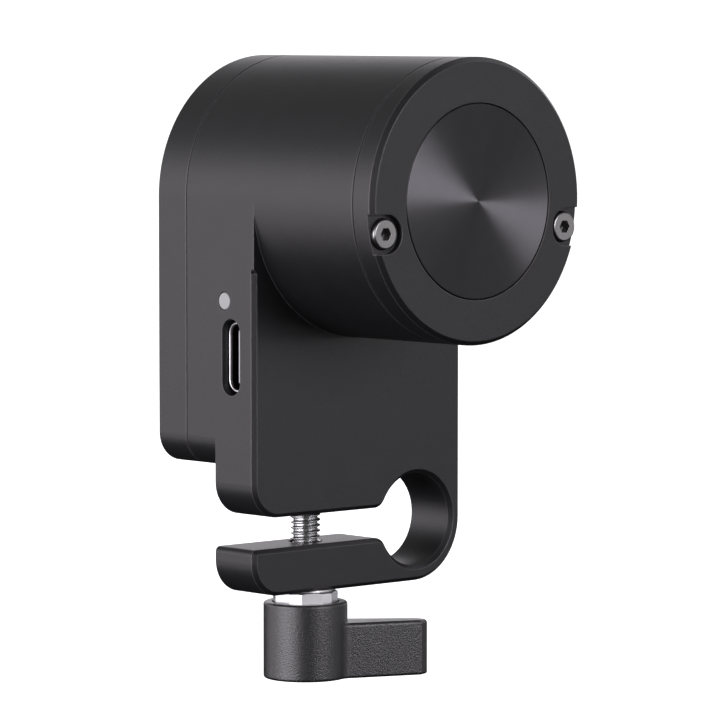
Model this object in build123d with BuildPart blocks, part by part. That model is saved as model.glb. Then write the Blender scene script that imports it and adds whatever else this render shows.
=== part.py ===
"""Lens focus motor that clamps to a support rod.

A brushless motor fills the round barrel. The block behind it holds one planetary gear stage and the
control board, and runs down into a split clamp that a stud with a side lever closes on the rod.
Frame: origin in the middle of the rod bore, +Y along the rod to the drive gear, +Z up, millimetres.
"""

import os
from math import acos, cos, pi, radians, sin, sqrt, tan

from build123d import *

# Rod clamp
rod_bore_radius = 6.05
clamp_depth = 8.0
clamp_slot = 3.9
clamp_side_wall = 1.87
clamp_floor = 1.97
arm_corner_share = 0.71
arm_tip_share = 0.12
slot_lip_round = 1.95
edge_break = 0.54

# Barrel, block and rear cover
barrel_radius = 18.0
barrel_wall = 3.6
barrel_length = 18.4
motor_height = 42.3
case_rise = 8.1
case_depth = 13.05
case_corner = 3.8
plain_edge_drop = 9.3
cover_depth = 5.65
cover_floor = 2.0
cover_edge = 0.3
seam_chamfer = 0.15
case_wall = 2.0
spigot_wall = 2.0

# Bezel on the barrel
cap_thickness = 3.58
cap_chamfer = 0.6
cap_spigot = 1.2
bezel_width = 5.79
disc_gap = 0.12
disc_thickness = 1.0
cap_screw_inset = 2.16
cap_screw_dip = radians(13.2)
cap_screw_sink = 0.29
cap_notch_margin = 0.55
cap_notch_depth = 0.95
counterbore_play = 0.1

# Screws
m2_radius = 1.0
m2_head_radius = 1.9
m2_head_height = 2.0
m2_head_round = 0.25
m2_socket_flats = 1.5
socket_share = 0.6
small_screw_radius = 0.8
small_head_radius = 1.5
small_head_height = 0.9
cross_width = 0.35
cross_depth = 0.5
thread_reach = 5.0
thread_runout = 1.0
screw_play = 0.05
tap_play = 0.02

# USB-C socket, with its height as a share of the room between the bore's web and the corner block,
# and the light window above it, both set back from the front face
light_radius = 1.1
light_setback = 5.68
light_rise = 7.09
light_headroom = 2.44
light_edge = 0.15
light_flange = 0.4
light_flange_depth = 0.6
lamp_size = 1.6
lamp_height = 0.9
usb_setback = 4.39
usb_share = 0.476
usb_long = 8.94
usb_short = 3.26
usb_length = 7.3
usb_wall = 0.3
usb_rim_round = 0.12
usb_floor = 1.2
usb_margin = 0.4
usb_recess = 1.0
tongue_width = 6.69
tongue_thickness = 0.7
tongue_length = 5.6
tongue_edge = 0.15
contact_count = 12
contact_pitch = 0.5
contact_thickness = 0.06
contact_setback = 0.8

# Electronics, with sideways places as shares of the pocket's half width
board_thickness = 1.0
board_play = 0.3
pocket_floor_wall = 2.0
corner_block = 5.0
corner_share = 0.12
bore_web = 1.4
standoff_radius = 1.8
standoff_margin = 2.4
low_standoff_spread = 0.44
high_standoff_spread = 0.79
controller_size = 5.0
controller_spread = 0.125
driver_size = 4.0
driver_spread = -0.4
inductor_size = 4.0
inductor_height = 2.0
inductor_corner = 0.8
inductor_spread = 0.66
chip_height = 0.9
chip_edge = 0.12
connector_drop = 4.2
connector_height = 3.4
connector_cheek = 1.5

# Motor, with the stator's sizes as shares of the motor bore
shaft_radius = 1.5
air_gap = 0.4
stator_teeth = 9
stator_inner_share = 0.59
yoke_share = 0.132
tooth_share = 0.18
shoe_share = 0.0625
coil_share = 0.09
magnet_share = 0.104
shoe_gap = 1.0
coil_play = 0.05
coil_clearance = 0.2
front_room = 4.7
rear_room = 3.6
rotor_overhang = 0.2
rotor_hub_wall = 1.5
rotor_hub_length = 2.0
magnet_count = 8
magnet_gap = 0.3
lead_radius = 0.5
lead_spacing = 1.4
lead_bend = 1.2
lead_tail = 0.8
lead_play = 0.3
lead_sink = 0.9

# Position sensor behind the disc
encoder_rim = 2.75
encoder_ledge = 1.2
encoder_play = 0.2
encoder_room = 0.85
encoder_well = 0.6
encoder_board_thickness = 0.8
encoder_chip_size = 3.0
encoder_chip_height = 0.5
encoder_gap = 0.5
encoder_magnet_height = 0.5
encoder_magnet_margin = 0.4

# Ball bearings: bore radius, outer radius and width
motor_bearing = (1.5, 3.0, 2.5)
output_bearing = (3.0, 5.0, 3.0)
race_gap = 0.1
bearing_lip = 0.6
bearing_shoulder = 0.8
bearing_wall = 1.8
bearing_sink = 0.3
bearing_spacing = 0.5

# Planetary stage
sun_teeth = 12
planet_teeth = 18
planet_count = 3
gear_pressure = radians(25)
gear_addendum = 0.8
gear_dedendum = 1.1
gear_slack = 0.04
ring_wall = 1.825
sun_wall = 1.2
ring_overhang = 1.9
planet_width = 6.6
planet_pin_radius = 1.25
running_play = 0.05
end_play = 0.3
carrier_thickness = 2.3
carrier_play = 0.8
carrier_neck = 0.9
rib_thickness = 1.0
rib_height = 1.0

# Drive gear
drive_module = 0.8
drive_teeth = 24
drive_pressure = radians(20)
drive_dedendum = 1.25
drive_width = 7.0
drive_boss = 1.0
drive_boss_wall = 0.7
shaft_flat = 2.5
shaft_setback = 0.2
shaft_shoulder = 0.6
gear_washer_thickness = 0.6
gear_washer_wall = 1.4
end_screw_radius = 1.25
end_screw_reach = 6.2
end_head_radius = 2.3
end_head_height = 1.8
end_head_round = 0.4
end_socket_flats = 2.0

# Clamp stud and lever
stud_offset = 15.85
stud_radius = 1.95
thread_depth = 0.4
thread_pitch = 0.7
thread_flank_share = 0.4
thread_root_share = 0.1
thread_start = 0.6
stud_reach = 6.2
arm_hole_play = 0.25
washer_thickness = 0.2
washer_setback = 0.35
head_flats = 7.9
head_turn = 31
head_corner_cut = 0.25
head_height = 3.5
head_top_wall = 0.6
head_play = 0.08
hub_wall = 1.22
hub_height = 9.9
hub_cover = 1.64
hub_recess = 1.0
hub_recess_play = 0.15
hub_web = 1.2
hub_blend = 2.0
hub_top_round = 0.35
hub_foot_round = 0.35
handle_height = 7.15
handle_reach = 15.95
handle_root = 3.5
handle_tip = 1.2
handle_tip_share = 0.75
handle_top_round = 0.45
handle_turn = radians(-31)
spring_radius = 2.35
spring_wire = 0.25
spring_length = 4.0
spring_turns = 3.5
spring_seat = 0.05
spring_room = 0.85
lever_head_margin = 0.5
lever_head_height = 1.6
lever_head_edge = 0.3
lever_socket_depth = 1.0

# Places that follow from the sizes above
front_face = -clamp_depth / 2
clamp_rear = clamp_depth / 2
seam_y = front_face + case_depth
rear_face = seam_y + cover_depth
barrel_end = front_face - barrel_length
cap_face = barrel_end - cap_thickness
right_face = rod_bore_radius + clamp_side_wall
left_face = right_face - 2 * barrel_radius
inner_left = left_face + case_wall
axis_x = right_face - barrel_radius
arm_underside = -rod_bore_radius - clamp_floor
arm_thickness = -clamp_slot / 2 - arm_underside
motor_bore = barrel_radius - barrel_wall
fitted = motor_bore - tap_play
slab_top = motor_height - plain_edge_drop
case_drop = motor_height - case_rise
disc_radius = barrel_radius - bezel_width
encoder_radius = disc_radius - encoder_rim
light_y = front_face + light_setback
usb_y = front_face + usb_setback
usb_root = left_face + usb_recess + usb_length
tongue_x = usb_root - usb_floor
board_front = usb_y + usb_short / 2
board_rear = board_front + board_thickness
pocket_front = front_face + pocket_floor_wall
pocket_half = barrel_radius - case_wall
pocket_drop = case_drop - case_wall
pocket_round = motor_bore + bore_web
corner_height = pocket_drop * corner_share
corner_screw = (pocket_half - corner_block / 2, corner_height / 2 - pocket_drop)
web_drop = sqrt(pocket_round**2 - (usb_root - axis_x) ** 2)
usb_z = motor_height - web_drop - usb_share * (pocket_drop - corner_height - web_drop)
light_z = usb_z + light_rise
pocket_top_drop = motor_height - light_z - light_headroom
top_screw = (pocket_round + 2 * screw_play) * sin(pi / 4)
cover_screw_places = [
    (-corner_screw[0], corner_screw[1]),
    corner_screw,
    (-top_screw, top_screw),
    (top_screw, top_screw),
]
low_standoff = pocket_half * low_standoff_spread
high_standoff = pocket_half * high_standoff_spread
high_standoff_place = min(
    -sqrt((pocket_round + standoff_margin) ** 2 - high_standoff**2),
    -pocket_top_drop - standoff_margin,
)
standoff_places = [
    (-low_standoff, standoff_margin - pocket_drop),
    (low_standoff, standoff_margin - pocket_drop),
    (high_standoff, high_standoff_place),
]
chip_row = -(pocket_round + pocket_drop - standoff_margin - small_head_radius) / 2
connector_top = -motor_bore - connector_drop
cap_screw_radius = barrel_radius - cap_screw_inset
cap_screw_places = [
    (side * cap_screw_radius * cos(cap_screw_dip), -cap_screw_radius * sin(cap_screw_dip))
    for side in (-1, 1)
]
dowel_places = [(-motor_bore, 0), (motor_bore, 0)]

# Depths of the bezel, its screws and its sensor, from the front
cap_screw_top = cap_face + cap_screw_sink
cap_screw_seat = cap_screw_top + m2_head_height
disc_seat = cap_face + disc_thickness
encoder_seat = disc_seat + encoder_room
encoder_floor = encoder_seat + encoder_well
front_bearing_y = encoder_floor + bearing_lip
shaft_front = encoder_floor + encoder_gap

# Depths of the drive and the gears, from the rear cover forwards to the stator
outer_bearing_rear = rear_face - bearing_sink
outer_bearing_y = outer_bearing_rear - output_bearing[2]
inner_bearing_y = outer_bearing_y - bearing_spacing - output_bearing[2]
boss_front = inner_bearing_y - bearing_sink
carrier_rear = inner_bearing_y - carrier_neck
carrier_front = carrier_rear - carrier_thickness
planet_rear = carrier_front - end_play
planet_front = planet_rear - planet_width
bulkhead_rear = planet_front - end_play
bulkhead_front = bulkhead_rear - motor_bearing[2] - bearing_lip
ring_rear = bulkhead_rear + planet_width + ring_overhang
rib_front = bulkhead_front - rib_thickness
stator_rear = rib_front - rear_room
stator_front = barrel_end + front_room
stator_length = stator_rear - stator_front
rotor_front = stator_front - rotor_overhang
rotor_rear = stator_rear + rotor_overhang
drive_front = outer_bearing_rear + drive_boss
drive_rear = drive_front + drive_width
shaft_rear = drive_rear - shaft_setback
gear_screw_seat = drive_rear + gear_washer_thickness

# Stator, coils and rotor
stator_inner_radius = motor_bore * stator_inner_share
yoke_inner_radius = fitted - motor_bore * yoke_share
tooth_width = motor_bore * tooth_share
shoe_thickness = motor_bore * shoe_share
coil_build = motor_bore * coil_share
coil_inner = stator_inner_radius + shoe_thickness + coil_clearance
coil_outer = sqrt(yoke_inner_radius**2 - (tooth_width / 2 + coil_build) ** 2) - 2 * coil_play
magnet_thickness = motor_bore * magnet_share
magnet_outer = stator_inner_radius - air_gap
magnet_inner = magnet_outer - magnet_thickness

# Gear train
ring_teeth = sun_teeth + 2 * planet_teeth
gear_module = (motor_bore - ring_wall) / (ring_teeth / 2 + gear_dedendum)
planet_orbit = gear_module * (sun_teeth + planet_teeth) / 2
sun_bore = gear_module * (sun_teeth / 2 - gear_dedendum) - sun_wall
carrier_radius = gear_module * (ring_teeth / 2 - gear_addendum) - carrier_play

# Heights along the clamp stud
stud_x = -stud_offset
stud_root_radius = stud_radius - thread_depth
arm_hole_radius = stud_radius + arm_hole_play
head_corner_radius = head_flats / 2 + head_corner_cut
hub_radius = head_corner_radius + hub_wall
head_top = arm_underside - washer_thickness
head_bottom = head_top - head_height
hub_top = arm_underside - hub_cover
hub_bottom = hub_top - hub_height
socket_top = hub_top - hub_recess
web_bottom = head_bottom - hub_web
spring_bottom = web_bottom - spring_length
lever_screw_bottom = spring_bottom - lever_head_height
stud_top = clamp_slot / 2 + stud_reach


def facing(y, x=0.0, z=0.0):
    """Plane across the rod's direction at depth y, with its normal to the front."""
    return Plane(origin=(x, y, z), x_dir=(1, 0, 0), z_dir=(0, -1, 0))


def across_axis(y):
    """Plane across the motor axis at depth y, centred on the axis."""
    return facing(y, axis_x, motor_height)


def beside_axis(y, place):
    """Plane across the motor axis at depth y, centred on a place measured from the axis."""
    return facing(y, axis_x + place[0], motor_height + place[1])


def side_plane(x, y, z):
    """Plane that faces out of the left side, with its first direction upwards."""
    return Plane(origin=(x, y, z), x_dir=(0, 0, 1), z_dir=(-1, 0, 0))


def upright(z):
    """Level plane at height z, centred on the clamp stud."""
    return Plane(origin=(stud_x, 0, z))


def turned(front, rear, radius, mode=Mode.ADD):
    """Add or cut a cylinder on the motor axis between two depths."""
    with Locations(across_axis(rear)):
        Cylinder(radius, rear - front, align=(Align.CENTER, Align.CENTER, Align.MIN), mode=mode)


def bored(front, rear, radius):
    """Cut a cylinder on the motor axis between two depths."""
    turned(front, rear, radius, Mode.SUBTRACT)


def pinned(places, front, rear, radius, mode=Mode.ADD):
    """Add or cut cylinders along the motor axis at places measured from it."""
    for place in places:
        with Locations(beside_axis(rear, place)):
            Cylinder(radius, rear - front, align=(Align.CENTER, Align.CENTER, Align.MIN), mode=mode)


def bored_at(places, front, rear, radius):
    """Cut cylinders along the motor axis at places measured from it."""
    pinned(places, front, rear, radius, Mode.SUBTRACT)


def polar(radius, angle):
    """Point on a plane from a radius and an angle in radians."""
    return (radius * cos(angle), radius * sin(angle))


def case_outline():
    """Round-topped outline of the block and its cover, about the motor axis."""
    with BuildSketch() as outline:
        Rectangle(2 * barrel_radius, case_drop, align=(Align.CENTER, Align.MAX))
        fillet(outline.vertices().group_by(Axis.Y)[0], case_corner)
        Circle(barrel_radius)
    return outline.sketch


def flatted_circle(radius):
    """Section of the output shaft where it has its flat."""
    with BuildSketch() as section:
        Circle(radius)
        with Locations((0, shaft_flat)):
            Rectangle(2 * radius, radius, align=(Align.CENTER, Align.MIN), mode=Mode.SUBTRACT)
    return section.sketch


def cut_hexagon(flats, corner_radius):
    """Hexagon with its corners turned off to a radius, as on the stud's head and the lever's socket."""
    with BuildSketch() as section:
        Circle(corner_radius)
        RegularPolygon(flats / 2, 6, major_radius=False, rotation=head_turn, mode=Mode.INTERSECT)
    return section.sketch


def gear_outline(teeth, module, pressure, tip, root, slack, turn):
    """Face of a toothed wheel with involute flanks, each flank drawn as one arc.

    The slack is taken off each flank at the pitch circle; below zero it makes the cutter of an inner ring.
    """
    pitch_radius = module * teeth / 2
    base_radius = pitch_radius * cos(pressure)
    start = max(root, base_radius)
    middle = (start + tip) / 2

    def half_angle(radius):
        local = acos(min(1.0, base_radius / radius))
        spread = tan(pressure) - pressure - tan(local) + local
        return pi / (2 * teeth) - slack / pitch_radius + spread

    low, mid, high = half_angle(start), half_angle(middle), half_angle(tip)
    step = 2 * pi / teeth
    with BuildSketch() as wheel:
        with BuildLine():
            for tooth in range(teeth):
                centre = turn + tooth * step
                if root < start:
                    Line(polar(root, centre - low), polar(start, centre - low))
                    Line(polar(start, centre + low), polar(root, centre + low))
                for side in (-1, 1):
                    ThreePointArc(
                        polar(start, centre + side * low),
                        polar(middle, centre + side * mid),
                        polar(tip, centre + side * high),
                    )
                ThreePointArc(
                    polar(tip, centre - high), polar(tip, centre), polar(tip, centre + high)
                )
                ThreePointArc(
                    polar(root, centre + low),
                    polar(root, centre + step / 2),
                    polar(root, centre + step - low),
                )
        make_face()
    return wheel.sketch


def planetary_outline(teeth, outward, inward, slack, turn):
    """Face of one wheel of the planetary stage, with its teeth's reach as shares of the module."""
    pitch_radius = gear_module * teeth / 2
    tip = pitch_radius + outward * gear_module
    root = pitch_radius - inward * gear_module
    return gear_outline(teeth, gear_module, gear_pressure, tip, root, slack, turn)


def races(outer, bearing, depths):
    """Outer or inner races of a shielded ball bearing at each depth along the motor axis."""
    bore, rim, width = bearing
    split = (bore + rim) / 2
    for depth in depths:
        if outer:
            turned(depth, depth + width, rim)
            bored(depth, depth + width, split + race_gap / 2)
        else:
            turned(depth, depth + width, split - race_gap / 2)
            bored(depth, depth + width, bore)


# Housing: split clamp, block and barrel
with BuildPart() as main_housing:
    with BuildSketch(facing(clamp_rear)) as slab:
        with Locations((axis_x, arm_underside)):
            Rectangle(2 * barrel_radius, slab_top - arm_underside, align=(Align.CENTER, Align.MIN))
        Circle(rod_bore_radius, mode=Mode.SUBTRACT)
        with Locations((left_face, 0)):
            Rectangle(-left_face, clamp_slot, align=(Align.MIN, Align.CENTER), mode=Mode.SUBTRACT)
        fillet(slab.vertices().filter_by_position(Axis.X, -rod_bore_radius, 0), slot_lip_round)
        arm_corner = arm_thickness * arm_corner_share
        rounds = (
            (arm_underside, arm_corner),
            (-clamp_slot / 2, arm_thickness * arm_tip_share),
            (clamp_slot / 2, arm_corner),
        )
        for height, radius in rounds:
            left_end = slab.vertices().filter_by_position(Axis.X, left_face - tap_play, left_face + tap_play)
            fillet(left_end.filter_by_position(Axis.Y, height - tap_play, height + tap_play), radius)
        fillet(slab.vertices().group_by(Axis.X)[-1].sort_by(Axis.Y)[0], right_face)
    extrude(amount=clamp_depth)
    for face in (main_housing.faces().sort_by(Axis.Y)[0], main_housing.faces().sort_by(Axis.Y)[-1]):
        rim = face.edges().filter_by(lambda edge: edge.center().Z < slab_top - edge_break)
        chamfer(rim, edge_break)

    with BuildSketch(across_axis(seam_y)):
        add(case_outline())
    extrude(amount=case_depth - edge_break)
    chamfer(main_housing.faces().sort_by(Axis.Y)[-1].edges(), seam_chamfer)
    with BuildSketch(across_axis(front_face + edge_break)) as plain_front:
        Rectangle(2 * barrel_radius, plain_edge_drop, align=(Align.CENTER, Align.MAX))
        chamfer(plain_front.vertices().group_by(Axis.Y)[0], edge_break)
        Circle(barrel_radius)
    extrude(amount=edge_break)
    turned(barrel_end, front_face, barrel_radius)
    chamfer(main_housing.faces().sort_by(Axis.Y)[0].edges(), seam_chamfer)

    bored(barrel_end, rib_front, motor_bore)
    bored(rib_front, bulkhead_front, motor_bore - rib_height)
    bored(bulkhead_front, seam_y, motor_bore)
    bored_at(dowel_places, bulkhead_front, seam_y, small_screw_radius + tap_play)

    with BuildSketch(across_axis(seam_y)):
        with Locations((0, -pocket_drop)):
            Rectangle(2 * pocket_half, pocket_drop - pocket_top_drop, align=(Align.CENTER, Align.MIN))
        Circle(pocket_round, mode=Mode.SUBTRACT)
        with Locations((-pocket_half, -pocket_drop), (pocket_half, -pocket_drop)):
            Rectangle(2 * corner_block, 2 * corner_height, mode=Mode.SUBTRACT)
    extrude(amount=seam_y - pocket_front, mode=Mode.SUBTRACT)
    pinned(standoff_places, pocket_front, board_front, standoff_radius)
    bored_at(standoff_places, pocket_front, board_front, small_screw_radius + tap_play)
    tapped = thread_reach + thread_runout
    bored_at(cover_screw_places, seam_y - tapped, seam_y, small_screw_radius + tap_play)
    bored_at(cap_screw_places, barrel_end, barrel_end + tapped, m2_radius + tap_play)

    lead_slot_top = coil_outer - 2 * lead_radius - lead_play
    lead_slot_bottom = motor_bore + lead_sink + lead_radius + lead_play
    lead_slot_rear = pocket_front + lead_sink + lead_radius + lead_play
    with BuildSketch(across_axis(lead_slot_rear)):
        with Locations((0, -lead_slot_bottom)):
            Rectangle(
                2 * (lead_spacing + lead_radius + lead_play),
                lead_slot_bottom - lead_slot_top,
                align=(Align.CENTER, Align.MIN),
            )
    extrude(amount=lead_slot_rear - stator_rear - coil_build, mode=Mode.SUBTRACT)

    with BuildSketch(side_plane(inner_left, usb_y, usb_z)):
        SlotOverall(usb_long + 2 * usb_margin, usb_short + usb_margin / 2)
    extrude(amount=case_wall, mode=Mode.SUBTRACT)
    with BuildSketch(side_plane(inner_left, light_y, light_z)):
        Circle(light_radius + screw_play)
    extrude(amount=case_wall, mode=Mode.SUBTRACT)

    with BuildSketch(upright(clamp_slot / 2)):
        Circle(stud_radius + running_play)
    extrude(amount=stud_reach + thread_runout, mode=Mode.SUBTRACT)
    with BuildSketch(upright(arm_underside)):
        Circle(arm_hole_radius)
    extrude(amount=arm_thickness, mode=Mode.SUBTRACT)

# Rear cover with its spigot and bearing boss
with BuildPart() as rear_cover:
    with BuildSketch(across_axis(rear_face)):
        add(case_outline())
    extrude(amount=cover_depth)
    chamfer(rear_cover.faces().sort_by(Axis.Y)[0].edges(), seam_chamfer)
    fillet(rear_cover.faces().sort_by(Axis.Y)[-1].edges(), cover_edge)
    spigot_radius = motor_bore - screw_play
    turned(ring_rear, seam_y, spigot_radius)
    bored(ring_rear, seam_y, spigot_radius - spigot_wall)
    turned(boss_front, rear_face, output_bearing[1] + bearing_wall)
    with BuildSketch(across_axis(rear_face - cover_floor)):
        with Locations((0, -pocket_drop)):
            Rectangle(
                2 * pocket_half, pocket_drop - pocket_round - board_play, align=(Align.CENTER, Align.MIN)
            )
        with Locations((-pocket_half, -pocket_drop), (pocket_half, -pocket_drop)):
            Rectangle(2 * corner_block, 2 * corner_height, mode=Mode.SUBTRACT)
    extrude(amount=cover_depth - cover_floor, mode=Mode.SUBTRACT)
    bored(boss_front, inner_bearing_y + output_bearing[2], output_bearing[1])
    bored(boss_front, rear_face, output_bearing[1] - bearing_shoulder)
    bored(outer_bearing_y, rear_face, output_bearing[1])
    for x, z in cover_screw_places:
        with Locations(Plane(origin=(axis_x + x, rear_face, motor_height + z), z_dir=(0, 1, 0))):
            CounterSinkHole(
                small_screw_radius + screw_play, small_head_radius + screw_play, depth=cover_depth
            )

# Bezel with its two notches, disc seat and bearing boss
with BuildPart() as end_cap:
    turned(cap_face, barrel_end, barrel_radius)
    chamfer(end_cap.edges().filter_by(GeomType.CIRCLE).sort_by(Axis.Y)[0], cap_chamfer)
    chamfer(end_cap.edges().filter_by(GeomType.CIRCLE).sort_by(Axis.Y)[-1], seam_chamfer)
    turned(barrel_end, barrel_end + cap_spigot, motor_bore - screw_play)
    bored(barrel_end, barrel_end + cap_spigot, motor_bore - spigot_wall)
    turned(barrel_end, front_bearing_y + motor_bearing[2], motor_bearing[1] + bearing_wall)
    bored(cap_face, disc_seat, disc_radius + disc_gap)
    bored(disc_seat, encoder_seat, encoder_radius)
    bored(encoder_seat, encoder_floor, encoder_radius - encoder_ledge)
    bored(encoder_floor, front_bearing_y, motor_bearing[1] - bearing_shoulder)
    bored(front_bearing_y, front_bearing_y + motor_bearing[2], motor_bearing[1])
    cap_notch_half = m2_head_radius + cap_notch_margin
    for side, place in zip((-1, 1), cap_screw_places):
        with BuildSketch(beside_axis(cap_face + cap_notch_depth, place)):
            Circle(cap_notch_half)
            with Locations((side * cap_notch_half, 0)):
                Rectangle(2 * cap_notch_half, 2 * cap_notch_half)
        extrude(amount=cap_notch_depth, mode=Mode.SUBTRACT)
    bored_at(cap_screw_places, cap_face, cap_screw_seat, m2_head_radius + counterbore_play)
    bored_at(cap_screw_places, cap_face, barrel_end, m2_radius + screw_play)

with BuildPart() as spun_disc:
    turned(cap_face, disc_seat, disc_radius)
    chamfer(spun_disc.edges().filter_by(GeomType.CIRCLE).sort_by(Axis.Y)[0], disc_gap)

with BuildPart() as end_cap_screws:
    pinned(cap_screw_places, cap_screw_top, cap_screw_seat, m2_head_radius)
    fillet(end_cap_screws.edges().filter_by(GeomType.CIRCLE).group_by(Axis.Y)[0], m2_head_round)
    pinned(cap_screw_places, cap_screw_seat, barrel_end + thread_reach, m2_radius)
    for place in cap_screw_places:
        with BuildSketch(beside_axis(cap_screw_top, place)):
            RegularPolygon(m2_socket_flats / 2, 6, major_radius=False)
        extrude(amount=-socket_share * m2_head_height, mode=Mode.SUBTRACT)

with BuildPart() as cover_screws:
    flare = small_head_radius - small_screw_radius
    for x, z in cover_screw_places:
        along = Plane(origin=(axis_x + x, 0, motor_height + z), x_dir=(1, 0, 0), z_dir=(0, 0, 1))
        with BuildSketch(along):
            with BuildLine():
                Polyline(
                    (0, rear_face),
                    (small_head_radius, rear_face),
                    (small_screw_radius, rear_face - flare),
                    (small_screw_radius, seam_y - thread_reach),
                    (0, seam_y - thread_reach),
                    close=True,
                )
            make_face()
        revolve(axis=Axis(along.origin, (0, 1, 0)))
        with BuildSketch(beside_axis(rear_face, (x, z))):
            RegularPolygon(small_screw_radius * socket_share, 6, major_radius=False)
        extrude(amount=flare, mode=Mode.SUBTRACT)

# Light window, lamp and USB-C socket
with BuildPart() as light_pipe:
    with BuildSketch(side_plane(inner_left, light_y, light_z)):
        Circle(light_radius)
    extrude(amount=case_wall)
    fillet(light_pipe.edges().filter_by(GeomType.CIRCLE).sort_by(Axis.X)[0], light_edge)
    with BuildSketch(side_plane(inner_left + light_flange_depth, light_y, light_z)):
        Circle(light_radius + light_flange)
    extrude(amount=light_flange_depth)

with BuildPart() as status_led:
    with BuildSketch(facing(board_front, inner_left + lamp_size, light_z)):
        Rectangle(lamp_size, lamp_size)
    extrude(amount=lamp_height)

with BuildPart() as usb_shell:
    with BuildSketch(side_plane(usb_root, usb_y, usb_z)):
        SlotOverall(usb_long, usb_short)
    extrude(amount=usb_length)
    with BuildSketch(side_plane(tongue_x, usb_y, usb_z)):
        SlotOverall(usb_long - 2 * usb_wall, usb_short - 2 * usb_wall)
    extrude(amount=usb_length - usb_floor, mode=Mode.SUBTRACT)
    fillet(usb_shell.faces().sort_by(Axis.X)[0].edges(), usb_rim_round)

with BuildPart() as usb_tongue:
    with BuildSketch(side_plane(tongue_x, usb_y, usb_z)):
        Rectangle(tongue_width, tongue_thickness)
    extrude(amount=tongue_length)
    chamfer(usb_tongue.faces().sort_by(Axis.X)[0].edges(), tongue_edge)

with BuildPart() as usb_contacts:
    for side in (-1, 1):
        skin_y = usb_y + side * (tongue_thickness + contact_thickness) / 2
        with BuildSketch(side_plane(tongue_x, skin_y, usb_z)):
            with GridLocations(contact_pitch, 0, contact_count, 1):
                Rectangle(contact_pitch / 2, contact_thickness)
        extrude(amount=tongue_length - contact_setback)

# Control board and what stands on it
with BuildPart() as control_board:
    board_half = pocket_half - 2 * board_play
    with BuildSketch(across_axis(board_rear)):
        with Locations((0, board_play - pocket_drop)):
            Rectangle(
                2 * board_half,
                pocket_drop - pocket_top_drop - 2 * board_play,
                align=(Align.CENTER, Align.MIN),
            )
        Circle(pocket_round + board_play, mode=Mode.SUBTRACT)
        with Locations((-pocket_half, -pocket_drop), (pocket_half, -pocket_drop)):
            Rectangle(
                2 * (corner_block + board_play), 2 * (corner_height + board_play), mode=Mode.SUBTRACT
            )
        with Locations(*standoff_places):
            Circle(small_screw_radius + screw_play, mode=Mode.SUBTRACT)
    extrude(amount=board_thickness)

with BuildPart() as board_screws:
    screw_end = pocket_front + board_play
    pinned(standoff_places, board_rear, board_rear + small_head_height, small_head_radius)
    pinned(standoff_places, screw_end, board_rear, small_screw_radius)
    for place in standoff_places:
        with BuildSketch(beside_axis(board_rear + small_head_height, place)):
            Rectangle(small_head_radius, cross_width)
            Rectangle(cross_width, small_head_radius)
        extrude(amount=cross_depth, mode=Mode.SUBTRACT)

with BuildPart() as controller_chip:
    with BuildSketch(beside_axis(board_rear + chip_height, (pocket_half * controller_spread, chip_row))):
        Rectangle(controller_size, controller_size)
    extrude(amount=chip_height)
    chamfer(controller_chip.faces().sort_by(Axis.Y)[-1].edges(), chip_edge)

with BuildPart() as driver_chip:
    with BuildSketch(beside_axis(board_rear + chip_height, (pocket_half * driver_spread, chip_row))):
        Rectangle(driver_size, driver_size)
    extrude(amount=chip_height)
    chamfer(driver_chip.faces().sort_by(Axis.Y)[-1].edges(), chip_edge)

with BuildPart() as power_inductor:
    with BuildSketch(beside_axis(board_rear + inductor_height, (pocket_half * inductor_spread, chip_row))):
        RectangleRounded(inductor_size, inductor_size, inductor_corner)
    extrude(amount=inductor_height)

with BuildPart() as motor_connector:
    with BuildSketch(beside_axis(board_front, (0, connector_top))):
        Rectangle(
            2 * (lead_spacing + connector_cheek), connector_height, align=(Align.CENTER, Align.MAX)
        )
    extrude(amount=board_front - pocket_front - board_play)

# Brushless motor: stator, windings and leads
with BuildPart() as stator_core:
    with BuildSketch(across_axis(stator_rear)):
        yoke_middle = (fitted + yoke_inner_radius) / 2
        Circle(fitted)
        Circle(yoke_inner_radius, mode=Mode.SUBTRACT)
        with PolarLocations(yoke_middle, stator_teeth):
            Rectangle(
                yoke_middle - stator_inner_radius - shoe_thickness / 2,
                tooth_width,
                align=(Align.MAX, Align.CENTER),
            )
        with BuildSketch(mode=Mode.PRIVATE) as shoes:
            Circle(stator_inner_radius + shoe_thickness)
            Circle(stator_inner_radius, mode=Mode.SUBTRACT)
            with PolarLocations(stator_inner_radius, stator_teeth, start_angle=180 / stator_teeth):
                Rectangle(4 * shoe_thickness, shoe_gap, mode=Mode.SUBTRACT)
        add(shoes.sketch)
    extrude(amount=stator_length)

with BuildPart() as stator_windings:
    stator_middle = Vector(axis_x, (stator_front + stator_rear) / 2, motor_height)
    for tooth in range(stator_teeth):
        angle = 2 * pi * tooth / stator_teeth
        outward = Vector(cos(angle), 0, sin(angle))
        with BuildSketch(Plane(stator_middle + outward * coil_inner, x_dir=(0, 1, 0), z_dir=outward)):
            RectangleRounded(stator_length + 2 * coil_build, tooth_width + 2 * coil_build, coil_build)
            Rectangle(
                stator_length + 2 * coil_play, tooth_width + 2 * coil_play, mode=Mode.SUBTRACT
            )
        extrude(amount=coil_outer - coil_inner)

with BuildPart() as motor_leads:
    lead_start = stator_rear + coil_build
    lead_height = lead_radius - coil_outer
    lead_floor = -motor_bore - lead_sink
    lead_down = pocket_front + lead_sink
    lead_route = (
        (lead_start, lead_height),
        (lead_start + lead_tail, lead_height),
        (bulkhead_front, lead_floor),
        (lead_down, lead_floor),
        (lead_down, connector_top),
    )
    for wire in (-1, 0, 1):
        x = axis_x + wire * lead_spacing
        with BuildLine() as route:
            FilletPolyline(*[(x, y, motor_height + z) for y, z in lead_route], radius=lead_bend)
        with BuildSketch(facing(lead_start, x, motor_height + lead_height)):
            Circle(lead_radius)
        sweep(path=route.line)

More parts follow.
